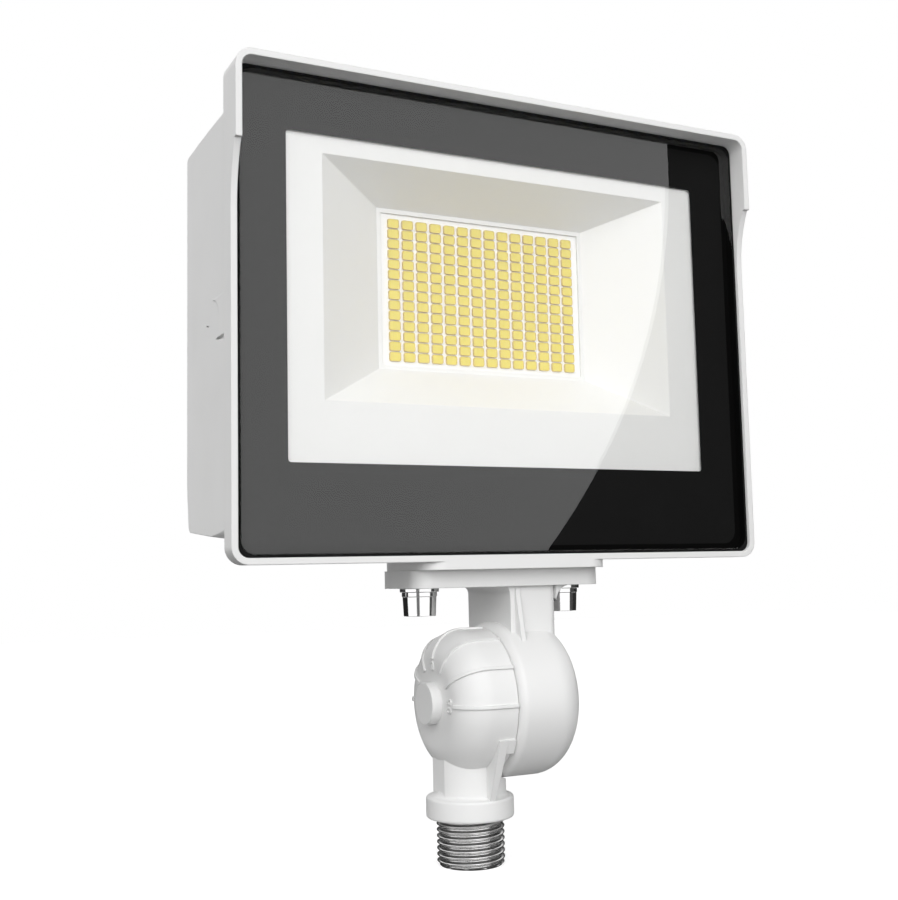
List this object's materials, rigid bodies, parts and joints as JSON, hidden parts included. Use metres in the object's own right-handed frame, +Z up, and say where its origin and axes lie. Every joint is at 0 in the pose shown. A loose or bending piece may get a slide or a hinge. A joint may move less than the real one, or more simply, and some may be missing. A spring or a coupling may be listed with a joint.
{
  "type": "led flood light",
  "caption": "Rectangular LED flood light with a white finned housing, front visor and black-bordered glass, on a tilting knuckle with a threaded conduit nipple.",
  "frame": {"origin": "on the axis of the mounting thread, at the underside of the collar, where the thread starts", "axes": "+Z up out of the thread towards the head, -Y the way the light faces, +X to the light's left seen from behind, which is the right of the picture; the pivot runs along X"},
  "size_m": [0.18, 0.0616, 0.2355],
  "materials": {
    "white_coat": "satin white powder coat on die-cast aluminium",
    "lens_glass": "clear tempered glass",
    "black_print": "black ceramic print, glossy through the glass",
    "black_rubber": "matt black silicone",
    "steel": "zinc plated",
    "bright_steel": "bright stainless steel",
    "white_reflector": "matt white reflector sheet",
    "board_white": "white solder mask",
    "phosphor": "yellow phosphor gel",
    "grey_pad": "soft grey heat pad",
    "driver_metal": "brushed, anodised",
    "board_green": "green solder mask",
    "coil_tape": "yellow winding tape and sleeves",
    "potting": "dark grey potting compound",
    "lead_red": "red and black wire insulation",
    "dark_thread": "dark grey bare metal thread"
  },
  "bodies": {
    "stand": {"knuckle_base": "white_coat", "threaded_nipple": "dark_thread", "pivot_bolt": "bright_steel", "pivot_washer": "bright_steel", "knuckle_o_ring": "black_rubber"},
    "head": {"rear_housing": "white_coat", "cooling_fins": "white_coat", "front_frame": "white_coat", "lens_glass": "lens_glass", "lens_border": "black_print", "lens_seal": "black_rubber", "frame_gasket": "black_rubber", "frame_screws": "steel", "reflector": "white_reflector", "reflector_screws": "steel", "led_board": "board_white", "led_chips": "phosphor", "board_screws": "steel", "heat_pad": "grey_pad", "driver_case": "driver_metal", "driver_cover": "driver_metal", "driver_board": "board_green", "driver_coils": "coil_tape", "driver_potting": "potting", "driver_screws": "steel", "led_leads": "lead_red", "wire_grommet": "black_rubber", "flange_gasket": "black_rubber", "knuckle_arm": "white_coat", "flange_bolts": "bright_steel", "spring_washers": "bright_steel", "flat_washers": "bright_steel"}
  },
  "joints": [
    {"name": "tilt", "type": "hinge", "parent": "stand", "child": "head", "pos_m": [0, 0, 0.03475], "axis": [1, 0, 0], "range_deg": [-90, 90]}
  ]
}
